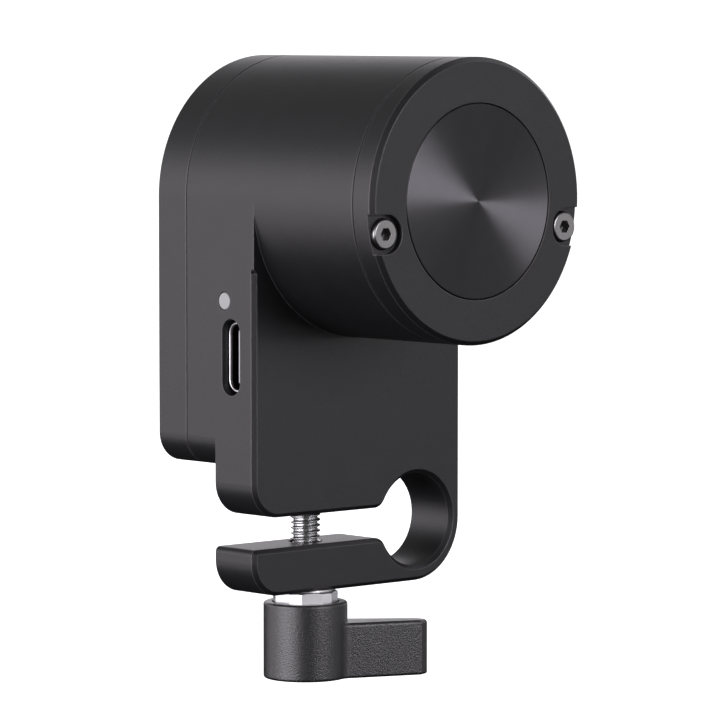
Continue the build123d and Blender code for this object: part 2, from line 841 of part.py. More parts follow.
# Rotor with its shaft, magnets and sun gear
with BuildPart() as rotor_shaft:
    turned(shaft_front, planet_front, shaft_radius)
    turned(planet_front, planet_rear, sun_bore)

with BuildPart() as rotor_core:
    hub_outer = shaft_radius + rotor_hub_wall
    turned(rotor_front, rotor_rear, magnet_inner)
    turned(rotor_front - rotor_overhang, rotor_rear + rotor_hub_length - rotor_overhang, hub_outer)
    bored(rotor_front - rotor_overhang, rotor_rear + rotor_hub_length - rotor_overhang, shaft_radius)

with BuildPart() as rotor_magnets:
    with BuildSketch(across_axis(rotor_rear)):
        Circle(magnet_outer)
        Circle(magnet_inner, mode=Mode.SUBTRACT)
        with PolarLocations(magnet_inner + magnet_thickness / 2, magnet_count):
            Rectangle(2 * magnet_thickness, magnet_gap, mode=Mode.SUBTRACT)
    extrude(amount=rotor_rear - rotor_front)

with BuildPart() as sun_gear:
    with BuildSketch(across_axis(planet_rear)):
        add(planetary_outline(sun_teeth, gear_addendum, gear_dedendum, gear_slack, 0.0))
        Circle(sun_bore, mode=Mode.SUBTRACT)
    extrude(amount=planet_width)

# Position sensor behind the disc
with BuildPart() as encoder_magnet:
    turned(shaft_front - encoder_magnet_height, shaft_front, shaft_radius + encoder_magnet_margin)

with BuildPart() as encoder_board:
    turned(encoder_seat - encoder_board_thickness, encoder_seat, encoder_radius - encoder_play)

with BuildPart() as encoder_chip:
    with BuildSketch(across_axis(encoder_seat + encoder_chip_height)):
        Rectangle(encoder_chip_size, encoder_chip_size)
    extrude(amount=encoder_chip_height)

# Ball bearings of the rotor and of the output shaft
motor_bearing_depths = (front_bearing_y, bulkhead_front)
output_bearing_depths = (inner_bearing_y, outer_bearing_y)
with BuildPart() as motor_bearing_outer_races:
    races(True, motor_bearing, motor_bearing_depths)

with BuildPart() as motor_bearing_inner_races:
    races(False, motor_bearing, motor_bearing_depths)

with BuildPart() as output_bearing_outer_races:
    races(True, output_bearing, output_bearing_depths)

with BuildPart() as output_bearing_inner_races:
    races(False, output_bearing, output_bearing_depths)

# Bulkhead, ring gear and dowels
with BuildPart() as motor_bulkhead:
    turned(bulkhead_front, bulkhead_rear, fitted)
    bored(bulkhead_front, bulkhead_front + motor_bearing[2], motor_bearing[1])
    bored(bulkhead_front, bulkhead_rear, motor_bearing[1] - bearing_shoulder)
    bored_at(dowel_places, bulkhead_front, bulkhead_rear, small_screw_radius + tap_play)

with BuildPart() as ring_gear:
    with BuildSketch(across_axis(ring_rear)):
        Circle(fitted)
        teeth_cut = planetary_outline(
            ring_teeth, gear_dedendum, gear_addendum, -gear_slack, pi / ring_teeth
        )
        add(teeth_cut, mode=Mode.SUBTRACT)
    extrude(amount=ring_rear - bulkhead_rear)
    bored_at(dowel_places, bulkhead_rear, ring_rear, small_screw_radius + tap_play)

with BuildPart() as gearbox_dowels:
    pinned(dowel_places, bulkhead_front, ring_rear, small_screw_radius)

# Planets on their carrier
planet_gears = []
planet_angles = [2 * pi * planet / planet_count for planet in range(planet_count)]
planet_places = [polar(planet_orbit, angle) for angle in planet_angles]
for angle, place in zip(planet_angles, planet_places):
    mesh_turn = angle + pi / planet_teeth
    with BuildPart() as planet_gear:
        with BuildSketch(beside_axis(planet_rear, place)):
            add(planetary_outline(planet_teeth, gear_addendum, gear_dedendum, gear_slack, mesh_turn))
            Circle(planet_pin_radius + running_play, mode=Mode.SUBTRACT)
        extrude(amount=planet_width)
    planet_gears.append(planet_gear)

with BuildPart() as planet_pins:
    pinned(planet_places, planet_front, carrier_rear, planet_pin_radius)

with BuildPart() as planet_carrier:
    turned(carrier_front, carrier_rear, carrier_radius)
    bored_at(planet_places, carrier_front, carrier_rear, planet_pin_radius)
    turned(carrier_rear, inner_bearing_y, output_bearing[0] + shaft_shoulder)
    turned(carrier_rear, drive_front, output_bearing[0])
    with BuildSketch(across_axis(shaft_rear)):
        add(flatted_circle(output_bearing[0]))
    extrude(amount=shaft_rear - drive_front)
    bored(drive_rear - end_screw_reach - thread_runout, shaft_rear, end_screw_radius + tap_play)

# Drive gear on the output shaft
with BuildPart() as drive_gear:
    drive_pitch = drive_module * drive_teeth / 2
    drive_tip = drive_pitch + drive_module
    drive_root = drive_pitch - drive_dedendum * drive_module
    with BuildSketch(across_axis(drive_rear)):
        add(gear_outline(drive_teeth, drive_module, drive_pressure, drive_tip, drive_root, gear_slack, 0.0))
        add(flatted_circle(output_bearing[0]), mode=Mode.SUBTRACT)
    extrude(amount=drive_width)
    turned(outer_bearing_rear, drive_front, output_bearing[0] + drive_boss_wall)
    bored(outer_bearing_rear, drive_front, output_bearing[0])

with BuildPart() as gear_washer:
    turned(drive_rear, gear_screw_seat, output_bearing[0] + gear_washer_wall)
    bored(drive_rear, gear_screw_seat, end_screw_radius + screw_play)

with BuildPart() as gear_screw:
    head_rear = gear_screw_seat + end_head_height
    turned(gear_screw_seat, head_rear, end_head_radius)
    fillet(gear_screw.edges().sort_by(Axis.Y)[-1], end_head_round)
    turned(drive_rear - end_screw_reach, gear_screw_seat, end_screw_radius)
    with BuildSketch(across_axis(head_rear)):
        RegularPolygon(end_socket_flats / 2, 6, major_radius=False)
    extrude(amount=socket_share * end_head_height, mode=Mode.SUBTRACT)

# Clamp stud, washer and lever
with BuildPart() as thrust_washer:
    with BuildSketch(upright(head_top)):
        Circle(head_flats / 2 - washer_setback)
        Circle(arm_hole_radius, mode=Mode.SUBTRACT)
    extrude(amount=washer_thickness)

with BuildPart() as clamp_screw:
    with BuildSketch(upright(head_bottom)):
        add(cut_hexagon(head_flats, head_corner_radius))
    extrude(amount=head_height)
    thread_flank = thread_flank_share * thread_pitch
    thread_root = thread_root_share * thread_pitch
    turn_count = int((stud_top - thread_depth - head_top - thread_start) / thread_pitch)
    with BuildSketch(facing(0, stud_x)):
        with BuildLine():
            points = [(0, head_top), (stud_radius, head_top)]
            for turn in range(turn_count):
                foot = head_top + thread_start + turn * thread_pitch
                points.append((stud_radius, foot))
                points.append((stud_root_radius, foot + thread_flank))
                points.append((stud_root_radius, foot + thread_flank + thread_root))
                points.append((stud_radius, foot + 2 * thread_flank + thread_root))
            points.append((stud_radius, stud_top - thread_depth))
            points.append((stud_root_radius, stud_top))
            points.append((0, stud_top))
            Polyline(*points, close=True)
        make_face()
    revolve(axis=Axis((stud_x, 0, 0), (0, 0, 1)))
    with BuildSketch(upright(head_bottom)):
        Circle(m2_radius + tap_play)
    extrude(amount=head_height - head_top_wall, mode=Mode.SUBTRACT)

with BuildPart() as lever_screw:
    with BuildSketch(upright(lever_screw_bottom)):
        Circle(spring_radius + lever_head_margin)
    extrude(amount=lever_head_height)
    chamfer(lever_screw.edges().sort_by(Axis.Z)[0], lever_head_edge)
    with BuildSketch(upright(spring_bottom)):
        Circle(m2_radius)
    extrude(amount=head_top - 2 * head_top_wall - spring_bottom)
    with BuildSketch(upright(lever_screw_bottom)):
        RegularPolygon(m2_socket_flats / 2, 6, major_radius=False)
    extrude(amount=lever_socket_depth, mode=Mode.SUBTRACT)

with BuildPart() as clamp_lever:
    handle_plane = Plane(
        origin=(stud_x, 0, hub_bottom), x_dir=(cos(handle_turn), sin(handle_turn), 0)
    )
    with BuildSketch(handle_plane) as handle:
        with BuildLine():
            Polyline(
                (0, handle_root),
                (handle_reach, handle_tip),
                (handle_reach, -handle_tip),
                (0, -handle_root),
                close=True,
            )
        make_face()
        chamfer(handle.vertices().group_by(Axis.X)[-1], handle_tip_share * handle_tip)
        Circle(hub_radius)
        fillet(handle.vertices().filter_by_position(Axis.X, hub_radius / 2, hub_radius), hub_blend)
    extrude(amount=handle_height)
    fillet(clamp_lever.faces().sort_by(Axis.Z)[-1].edges(), handle_top_round)
    with BuildSketch(upright(hub_bottom)):
        Circle(hub_radius)
    extrude(amount=hub_height)
    fillet(clamp_lever.faces().sort_by(Axis.Z)[-1].edges(), hub_top_round)
    fillet(clamp_lever.faces().sort_by(Axis.Z)[0].edges(), hub_foot_round)
    with BuildSketch(upright(socket_top)):
        Circle(head_corner_radius + hub_recess_play)
    extrude(amount=hub_recess, mode=Mode.SUBTRACT)
    with BuildSketch(upright(head_bottom)):
        add(cut_hexagon(head_flats + 2 * head_play, head_corner_radius + head_play))
    extrude(amount=socket_top - head_bottom, mode=Mode.SUBTRACT)
    with BuildSketch(upright(web_bottom)):
        Circle(m2_radius + counterbore_play)
    extrude(amount=hub_web, mode=Mode.SUBTRACT)
    with BuildSketch(upright(hub_bottom)):
        Circle(spring_radius + spring_room)
    extrude(amount=web_bottom - hub_bottom, mode=Mode.SUBTRACT)

with BuildPart() as lever_spring:
    coil_height = spring_length - 2 * (spring_wire + spring_seat)
    coil_foot = spring_bottom + spring_wire + spring_seat
    with BuildLine() as coil:
        Helix(coil_height / spring_turns, coil_height, spring_radius, center=(stud_x, 0, coil_foot))
    with BuildSketch(Plane(origin=coil.line @ 0, z_dir=coil.line % 0)):
        Circle(spring_wire)
    sweep(path=coil.line, is_frenet=True)

# One file for each piece
pieces = {
    "main_housing": main_housing,
    "rear_cover": rear_cover,
    "end_cap": end_cap,
    "spun_disc": spun_disc,
    "end_cap_screws": end_cap_screws,
    "cover_screws": cover_screws,
    "light_pipe": light_pipe,
    "status_led": status_led,
    "usb_shell": usb_shell,
    "usb_tongue": usb_tongue,
    "usb_contacts": usb_contacts,
    "control_board": control_board,
    "board_screws": board_screws,
    "controller_chip": controller_chip,
    "driver_chip": driver_chip,
    "power_inductor": power_inductor,
    "motor_connector": motor_connector,
    "stator_core": stator_core,
    "stator_windings": stator_windings,
    "motor_leads": motor_leads,
    "rotor_shaft": rotor_shaft,
    "rotor_core": rotor_core,
    "rotor_magnets": rotor_magnets,
    "sun_gear": sun_gear,
    "encoder_magnet": encoder_magnet,
    "encoder_board": encoder_board,
    "encoder_chip": encoder_chip,
    "motor_bearing_outer_races": motor_bearing_outer_races,
    "motor_bearing_inner_races": motor_bearing_inner_races,
    "output_bearing_outer_races": output_bearing_outer_races,
    "output_bearing_inner_races": output_bearing_inner_races,
    "motor_bulkhead": motor_bulkhead,
    "ring_gear": ring_gear,
    "gearbox_dowels": gearbox_dowels,
    "planet_pins": planet_pins,
    "planet_carrier": planet_carrier,
    "drive_gear": drive_gear,
    "gear_washer": gear_washer,
    "gear_screw": gear_screw,
    "thrust_washer": thrust_washer,
    "clamp_screw": clamp_screw,
    "lever_screw": lever_screw,
    "clamp_lever": clamp_lever,
    "lever_spring": lever_spring,
}
for number, planet_gear in enumerate(planet_gears, start=1):
    pieces[f"planet_gear_{number}"] = planet_gear

os.makedirs("parts", exist_ok=True)
for name, piece in pieces.items():
    piece.part.label = name
    export_step(piece.part, f"parts/{name}.step")
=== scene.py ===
"""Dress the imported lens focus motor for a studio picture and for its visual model.

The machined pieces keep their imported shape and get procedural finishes. The clamp stud is modelled again
here, with a true helical thread and a chamfered hexagonal head, and so is the spring in the lever's hub.
Lengths are in metres.
"""

import logging
import math
from collections.abc import Iterable
from dataclasses import dataclass
from enum import Enum
from typing import NamedTuple

import bmesh
import bpy
from mathutils import Euler, Matrix, Vector

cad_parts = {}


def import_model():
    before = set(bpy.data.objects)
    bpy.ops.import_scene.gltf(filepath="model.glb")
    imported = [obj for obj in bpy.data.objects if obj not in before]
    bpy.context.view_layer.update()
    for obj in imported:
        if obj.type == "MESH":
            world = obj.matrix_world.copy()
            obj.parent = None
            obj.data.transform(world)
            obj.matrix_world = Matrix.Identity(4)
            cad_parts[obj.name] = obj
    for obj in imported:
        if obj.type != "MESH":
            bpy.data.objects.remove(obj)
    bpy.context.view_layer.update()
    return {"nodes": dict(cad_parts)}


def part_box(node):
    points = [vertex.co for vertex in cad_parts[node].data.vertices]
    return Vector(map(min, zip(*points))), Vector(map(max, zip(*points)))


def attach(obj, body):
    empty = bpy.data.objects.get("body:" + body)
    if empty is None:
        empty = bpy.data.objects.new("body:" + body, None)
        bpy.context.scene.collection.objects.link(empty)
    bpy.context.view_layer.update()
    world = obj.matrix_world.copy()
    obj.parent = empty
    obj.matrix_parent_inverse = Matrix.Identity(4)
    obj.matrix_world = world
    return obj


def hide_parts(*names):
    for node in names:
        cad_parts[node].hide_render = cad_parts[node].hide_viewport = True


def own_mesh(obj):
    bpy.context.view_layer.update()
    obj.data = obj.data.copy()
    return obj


log = logging.getLogger("scene")

Colour = tuple[float, float, float]
Place = tuple[float, float, float]
Span = tuple[float, float]
Socket = bpy.types.NodeSocket
Term = Socket | float | tuple | Vector | Euler

OPAQUE = 1.0
UNIT_SPAN: Span = (0.0, 1.0)
WHOLE_TURN = 2 * math.pi


class Axis(Enum):
    """Axis of a turned or drawn piece, as the turn that brings it onto Z."""

    X = (0.0, -math.pi / 2, 0.0)
    Y = (math.pi / 2, 0.0, 0.0)
    Z = (0.0, 0.0, 0.0)


class Grain(Enum):
    """Kind of fine relief on a finish, by the name of the node group that makes it."""

    BLASTED = "blasted_grain"
    CAST = "cast_skin"
    TURNED = "lathe_rings"
    DRAWN = "drawn_streaks"
    LAYERED = "stacked_layers"
    # Blasted grain, with painted shade inside a socket in place of the broad mottle.
    SOCKET = "socket_depth"


class Kind(Enum):
    """Type of a group's socket, by Blender's name for it."""

    NUMBER = "NodeSocketFloat"
    VECTOR = "NodeSocketVector"


class Octaves(NamedTuple):
    """Fineness of a noise.

    Args:
        detail: Number of octaves.
        roughness: Share of each finer octave.
    """

    detail: float
    roughness: float


def grey(level: float) -> Colour:
    """Give a colour with three equal parts."""
    return (level, level, level)


@dataclass(frozen=True)
class Wiring:
    """Adds nodes to one node tree and joins them.

    Args:
        tree: The node tree that takes the nodes.
    """

    # A mix node's colour sockets share their names with its number sockets, so they go by their places.
    MIX_LOW = 6
    MIX_HIGH = 7
    MIX_RESULT = 2

    tree: bpy.types.NodeTree

    def feed(self, target: Socket, term: Term) -> None:
        """Give an input its value, or the output that drives it.

        Args:
            target: Input of a node.
            term: Another node's output, or a plain value. A colour comes without its alpha.
        """
        if isinstance(term, Socket):
            self.tree.links.new(term, target)
        elif target.type == "RGBA":
            target.default_value = (*term, OPAQUE)
        else:
            target.default_value = term

    def add(self, kind: str, inputs: dict[str, Term] | None = None, **settings: object) -> bpy.types.Node:
        """Add one node.

        Args:
            kind: Blender's name for the type of node.
            inputs: Names of its inputs, with what feeds them.
            settings: Attributes of the node and their values.

        Returns:
            The new node.
        """
        node = self.tree.nodes.new(kind)
        for name, value in settings.items():
            setattr(node, name, value)
        for name, term in (inputs or {}).items():
            self.feed(node.inputs[name], term)
        return node

    def calculate(self, operation: str, *terms: Socket | float) -> Socket:
        """Add a sum on values that vary over the surface.

        Args:
            operation: Blender's name for the sum.
            terms: Outputs or numbers, in the order of the node's inputs.

        Returns:
            The output with the result.
        """
        node = self.add("ShaderNodeMath", operation=operation)
        for target, term in zip(node.inputs, terms):
            self.feed(target, term)
        return node.outputs[0]

    def split(self, vector: Socket) -> bpy.types.Node:
        """Add a node that splits a vector into its parts X, Y and Z."""
        return self.add("ShaderNodeSeparateXYZ", {"Vector": vector})

    def noise(self, place: Socket, scale: Socket, octaves: Octaves) -> Socket:
        """Add a noise texture.

        Args:
            place: Place on the surface, as a vector, or as one number for noise along a line.
            scale: Features of the noise per metre.
            octaves: Fineness of the noise.

        Returns:
            The output with the noise.
        """
        along_line = place.type == "VALUE"
        node = self.add(
            "ShaderNodeTexNoise",
            {
                "W" if along_line else "Vector": place,
                "Scale": scale,
                "Detail": octaves.detail,
                "Roughness": octaves.roughness,
            },
            noise_dimensions="1D" if along_line else "3D",
        )
        return node.outputs[0]

    def remap(self, value: Socket, source: Span, target: Span = UNIT_SPAN) -> Socket:
        """Map one range of values onto another and hold what lies past its ends.

        Args:
            value: Output with the value.
            source: Ends of the range that the value has.
            target: Ends of the range that it gets.

        Returns:
            The output with the mapped value.
        """
        node = self.add(
            "ShaderNodeMapRange",
            {
                "Value": value,
                "From Min": source[0],
                "From Max": source[1],
                "To Min": target[0],
                "To Max": target[1],
            },
        )
        return node.outputs[0]

    def mix(self, factor: Socket, low: Socket | Colour, high: Socket | Colour) -> Socket:
        """Mix two colours by a factor that varies over the surface.

        Args:
            factor: Output with the factor.
            low: Colour at zero.
            high: Colour at one.

        Returns:
            The output with the mixed colour.
        """
        node = self.add("ShaderNodeMix", {"Factor": factor}, data_type="RGBA")
        self.feed(node.inputs[self.MIX_LOW], low)
        self.feed(node.inputs[self.MIX_HIGH], high)
        return node.outputs[self.MIX_RESULT]


class Group(NamedTuple):
    """Node group in the making.

    Args:
        wiring: Wiring of the group.
        start: Node with the group's inputs.
        end: Node with the group's outputs.
    """

    wiring: Wiring
    start: bpy.types.Node
    end: bpy.types.Node


@dataclass(frozen=True)
class Effects:
    """Node groups that several finishes share, each made once.

    Args:
        mottle: Noise of the broad mottle.
        mottle_share: Scale of the mottle, as a share of the relief's scale.
        even: Noise of an even grain.
        skin: Noise on the pebbles of a cast skin.
        skin_share: Scale of that noise, as a share of the pebbles' scale.
        pebble_blur: How far the pebbles run into each other.
        pebble_height: Height of the pebbles beside the noise on them.
        rings: Noise across the rings of a turned surface.
        streaks: Noise across the streaks of a drawn surface.
        streak_share: Scale along the streaks, as a share of the scale across them.
        layer_rise: Height in the middle of a layer, which rises and falls evenly.
        inside_shade_span: Places along a socket's axis, from its middle, between which its bright rim turns
            into the painted shade of its inside.
        edge_samples: Rays for each softened edge.
        edge_match: Likeness of the softened and the plain normal, where the mask of the painted edge
            highlight starts and is full.
    """

    mottle: Octaves = Octaves(3.0, 0.55)
    mottle_share: float = 0.045
    even: Octaves = Octaves(2.0, 0.6)
    skin: Octaves = Octaves(3.0, 0.6)
    skin_share: float = 1.7
    pebble_blur: float = 0.7
    pebble_height: float = 0.6
    rings: Octaves = Octaves(2.0, 0.7)
    streaks: Octaves = Octaves(3.0, 0.65)
    streak_share: float = 0.04
    layer_rise: float = 0.5
    inside_shade_span: Span = (-0.0035, -0.0032)
    edge_samples: int = 6
    edge_match: Span = (0.99, 0.92)

    def _open(self, name: str, inputs: dict[str, Kind], outputs: dict[str, Kind]) -> Group:
        """Start a group with named sockets.

        Args:
            name: Name of the group.
            inputs: Names and types of its inputs.
            outputs: Names and types of its outputs.

        Returns:
            The group, with nothing between its inputs and its outputs.
        """
        tree = bpy.data.node_groups.new(name, "ShaderNodeTree")
        for side, sockets in (("INPUT", inputs), ("OUTPUT", outputs)):
            for label, kind in sockets.items():
                tree.interface.new_socket(label, in_out=side, socket_type=kind.value)
        wiring = Wiring(tree)
        return Group(wiring, wiring.add("NodeGroupInput"), wiring.add("NodeGroupOutput"))

    def _blasted_grain(self, wiring: Wiring, vector: Socket, scale: Socket) -> Socket:
        """Make the fine even grain of a blasted or moulded surface."""
        return wiring.noise(vector, scale, self.even)

    def _cast_skin(self, wiring: Wiring, vector: Socket, scale: Socket) -> Socket:
        """Make the coarse pebbled skin of a coated casting.

        Args:
            wiring: Wiring of the group.
            vector: Place on the surface.
            scale: Pebbles per metre.

        Returns:
            The output with the height.
        """
        pebbles = wiring.add(
            "ShaderNodeTexVoronoi",
            {"Vector": vector, "Scale": scale, "Smoothness": self.pebble_blur},
            feature="SMOOTH_F1",
        )
        fine = wiring.noise(vector, wiring.calculate("MULTIPLY", scale, self.skin_share), self.skin)
        return wiring.calculate("MULTIPLY_ADD", pebbles.outputs["Distance"], self.pebble_height, fine)

    def _lathe_rings(self, wiring: Wiring, vector: Socket, scale: Socket) -> Socket:
        """Make fine uneven rings about the Z axis of the given vector.

        Args:
            wiring: Wiring of the group.
            vector: Place on the surface.
            scale: Rings per metre.

        Returns:
            The output with the height.
        """
        parts = wiring.split(vector)
        across = wiring.calculate("MULTIPLY", parts.outputs["X"], parts.outputs["X"])
        square = wiring.calculate("MULTIPLY_ADD", parts.outputs["Y"], parts.outputs["Y"], across)
        return wiring.noise(wiring.calculate("SQRT", square), scale, self.rings)

    def _drawn_streaks(self, wiring: Wiring, vector: Socket, scale: Socket) -> Socket:
        """Make long fine streaks along the Z axis of the given vector."""
        drawn = wiring.add("ShaderNodeMapping", {"Vector": vector, "Scale": (1.0, 1.0, self.streak_share)})
        return wiring.noise(drawn.outputs[0], scale, self.streaks)

    def _stacked_layers(self, wiring: Wiring, vector: Socket, scale: Socket) -> Socket:
        """Make even bands across the Z axis of the given vector."""
        phase = wiring.calculate("MULTIPLY", wiring.split(vector).outputs["Z"], scale)
        return wiring.calculate("PINGPONG", phase, self.layer_rise)

    def _mottle(self, wiring: Wiring, vector: Socket, scale: Socket) -> Socket:
        """Make the broad mottle of a surface."""
        return wiring.noise(vector, wiring.calculate("MULTIPLY", scale, self.mottle_share), self.mottle)

    def _painted_inside_shade(self, wiring: Wiring, vector: Socket) -> Socket:
        """Mark the inside of a socket, which opens along the Z axis of the given vector, for its painted
        shade.
        """
        return wiring.remap(wiring.split(vector).outputs["Z"], self.inside_shade_span)

    def relief(self, grain: Grain) -> bpy.types.NodeTree:
        """Give the node group of a grain, made at its first use.

        Args:
            grain: Kind of relief.

        Returns:
            The node group.
        """
        found = bpy.data.node_groups.get(grain.value)
        if found:
            return found
        makers = {
            Grain.BLASTED: self._blasted_grain,
            Grain.CAST: self._cast_skin,
            Grain.TURNED: self._lathe_rings,
            Grain.DRAWN: self._drawn_streaks,
            Grain.LAYERED: self._stacked_layers,
            Grain.SOCKET: self._blasted_grain,
        }
        wiring, start, end = self._open(
            grain.value,
            {"Vector": Kind.VECTOR, "Scale": Kind.NUMBER},
            {"Height": Kind.NUMBER, "MottleAndShade": Kind.NUMBER},
        )
        vector = start.outputs["Vector"]
        scale = start.outputs["Scale"]
        wiring.feed(end.inputs["Height"], makers[grain](wiring, vector, scale))
        # A socket gets painted shade inside it in place of the broad mottle.
        if grain is Grain.SOCKET:
            wiring.feed(end.inputs["MottleAndShade"], self._painted_inside_shade(wiring, vector))
        else:
            wiring.feed(end.inputs["MottleAndShade"], self._mottle(wiring, vector, scale))
        return wiring.tree

    def edges(self) -> bpy.types.NodeTree:
        """Give the node group that softens edges and marks them for a painted highlight, made at its first
        use.

        Returns:
            The node group.
        """
        name = "soft_edges"
        found = bpy.data.node_groups.get(name)
        if found:
            return found
        wiring, start, end = self._open(
            name,
            {"Width": Kind.NUMBER},
            {"Mask": Kind.NUMBER, "Normal": Kind.VECTOR},
        )
        bevel = wiring.add("ShaderNodeBevel", {"Radius": start.outputs["Width"]}, samples=self.edge_samples)
        plain_surface = wiring.add("ShaderNodeNewGeometry")
        match = wiring.add("ShaderNodeVectorMath", operation="DOT_PRODUCT")
        wiring.feed(match.inputs[0], bevel.outputs[0])
        wiring.feed(match.inputs[1], plain_surface.outputs["Normal"])
        wiring.feed(end.inputs["Mask"], wiring.remap(match.outputs["Value"], self.edge_match))
        wiring.feed(end.inputs["Normal"], bevel.outputs[0])
        return wiring.tree


EFFECTS = Effects()


@dataclass(frozen=True)
class Finish:
    """Procedural finish of a piece.

    Args:
        name: Name of the finish.
        grain: Kind of fine relief.
        colour: Base colour.
        mottle_and_shade: Colour that the broad mottle leads to; on a socket, the painted shade of its
            inside.
        edge_highlight: Painted highlight along the edges.
        metallic: Share of metal.
        roughness: Roughness at the low and the high end of the relief.
        scale: Features of the relief per metre.
        depth: Height of the relief.
        edge: Width of the softened edges.
        specular: Level of the plain reflection.
        anisotropy: Stretch of the reflection across the rings.
        coat: Weight of a clear coat.
        transmission: Share of light that goes through.
    """

    # The turn of a stretched reflection is counted in whole turns.
    QUARTER_TURN = 0.25

    name: str
    grain: Grain
    colour: Colour
    mottle_and_shade: Colour
    edge_highlight: Colour
    metallic: float
    roughness: Span
    scale: float
    depth: float
    edge: float
    specular: float = 0.5
    anisotropy: float = 0.0
    coat: float = 0.0
    transmission: float = 0.0

    def material(self, centre: Vector, axis: Axis) -> bpy.types.Material:
        """Make the material for a piece.

        Args:
            centre: Point on the piece's axis.
            axis: Direction of the piece's axis.

        Returns:
            The new material.
        """
        made = bpy.data.materials.new(self.name)
        made.use_nodes = True
        made.node_tree.nodes.clear()
        wiring = Wiring(made.node_tree)
        relief = self._relief(wiring, centre, axis)
        height = relief.outputs["Height"]
        edges = wiring.add("ShaderNodeGroup", {"Width": self.edge}, node_tree=EFFECTS.edges())
        tint = wiring.mix(relief.outputs["MottleAndShade"], self.colour, self.mottle_and_shade)
        bump = wiring.add(
            "ShaderNodeBump",
            {"Distance": self.depth, "Height": height, "Normal": edges.outputs["Normal"]},
        )
        # Along the edges the base colour turns into a painted highlight.
        shader = wiring.add(
            "ShaderNodeBsdfPrincipled",
            {
                "Base Color": wiring.mix(edges.outputs["Mask"], tint, self.edge_highlight),
                "Metallic": self.metallic,
                "Roughness": wiring.remap(height, UNIT_SPAN, self.roughness),
                "Normal": bump.outputs[0],
                "Specular IOR Level": self.specular,
                "Coat Weight": self.coat,
                "Transmission Weight": self.transmission,
            },
        )
        if self.anisotropy:
            around = wiring.add("ShaderNodeTangent", direction_type="RADIAL", axis=axis.name)
            wiring.feed(shader.inputs["Anisotropic"], self.anisotropy)
            wiring.feed(shader.inputs["Anisotropic Rotation"], self.QUARTER_TURN)
            wiring.feed(shader.inputs["Tangent"], around.outputs[0])
        wiring.add("ShaderNodeOutputMaterial", {"Surface": shader.outputs[0]})
        return made

    def _relief(self, wiring: Wiring, centre: Vector, axis: Axis) -> bpy.types.Node:
        """Add the relief group on coordinates that are centred on the piece's axis.

        Args:
            wiring: Wiring of the material.
            centre: Point on the piece's axis.
            axis: Direction of the piece's axis.

        Returns:
            The group node.
        """
        turn = Euler(axis.value)
        place = wiring.add("ShaderNodeTexCoord")
        centred = wiring.add(
            "ShaderNodeMapping",
            {
                "Vector": place.outputs["Object"],
                "Rotation": turn,
                "Location": -(turn.to_matrix() @ centre),
            },
        )
        return wiring.add(
            "ShaderNodeGroup",
            {"Vector": centred.outputs[0], "Scale": self.scale},
            node_tree=EFFECTS.relief(self.grain),
        )


BLACK_ANODISED = Finish(
    "black_anodised", Grain.BLASTED,
    colour=(0.0065, 0.0063, 0.0069), mottle_and_shade=(0.011, 0.0107, 0.0116), edge_highlight=(0.09, 0.087, 0.093),
    metallic=0.0, roughness=(0.32, 0.44), scale=5500.0, depth=0.00002, edge=0.0002,
)
SPUN_BLACK = Finish(
    "spun_black", Grain.TURNED,
    colour=(0.075, 0.074, 0.078), mottle_and_shade=(0.088, 0.087, 0.091), edge_highlight=(0.12, 0.12, 0.12),
    metallic=1.0, roughness=(0.32, 0.4), scale=5500.0, depth=0.00001, edge=0.00005,
    anisotropy=1.0,
)
NICKEL_STEEL = Finish(
    "nickel_steel", Grain.TURNED,
    colour=(0.22, 0.217, 0.214), mottle_and_shade=(0.28, 0.277, 0.272), edge_highlight=(0.5, 0.5, 0.49),
    metallic=1.0, roughness=(0.22, 0.36), scale=9000.0, depth=0.000003, edge=0.00008,
)
# Steel painted lighter than the thread's steel, for the lit facets of the stud's head; the washers share it.
LIT_STEEL = Finish(
    "bright_steel", Grain.DRAWN,
    colour=(0.82, 0.82, 0.83), mottle_and_shade=(0.9, 0.9, 0.91), edge_highlight=(0.94, 0.94, 0.95),
    metallic=1.0, roughness=(0.28, 0.42), scale=9000.0, depth=0.000002, edge=0.00006,
)
# The same steel as the head, painted darker for the shaded thread of the stud.
SHADED_THREAD_STEEL = Finish(
    "thread_steel_painted_shade", Grain.DRAWN,
    colour=(0.42, 0.42, 0.425), mottle_and_shade=(0.5, 0.5, 0.505), edge_highlight=(0.55, 0.55, 0.55),
    metallic=1.0, roughness=(0.18, 0.3), scale=9000.0, depth=0.000002, edge=0.00004,
)
# The shell's second colour is painted shade: past the bright rim, the inside of the socket is painted near
# black.
SHELL_STEEL = Finish(
    "shell_steel", Grain.SOCKET,
    colour=(0.8, 0.8, 0.81), mottle_and_shade=(0.025, 0.025, 0.026), edge_highlight=(0.7, 0.7, 0.71),
    metallic=1.0, roughness=(0.25, 0.4), scale=9000.0, depth=0.000002, edge=0.00003,
)
TEXTURED_BLACK = Finish(
    "textured_black", Grain.CAST,
    colour=(0.008, 0.0078, 0.0083), mottle_and_shade=(0.011, 0.0108, 0.0114), edge_highlight=(0.02, 0.02, 0.02),
    metallic=0.0, roughness=(0.23, 0.32), scale=5000.0, depth=0.00003, edge=0.0002,
    specular=0.8,
)
SPRING_STEEL = Finish(
    "spring_steel", Grain.DRAWN,
    colour=(0.5, 0.5, 0.52), mottle_and_shade=(0.6, 0.6, 0.62), edge_highlight=(0.65, 0.65, 0.66),
    metallic=1.0, roughness=(0.2, 0.35), scale=12000.0, depth=0.000002, edge=0.00004,
)
CLEAR_PLASTIC = Finish(
    "clear_plastic", Grain.BLASTED,
    colour=(0.36, 0.36, 0.365), mottle_and_shade=(0.42, 0.42, 0.425), edge_highlight=(0.45, 0.45, 0.45),
    metallic=0.0, roughness=(0.25, 0.35), scale=6000.0, depth=0.000002, edge=0.0001,
    transmission=0.15,
)
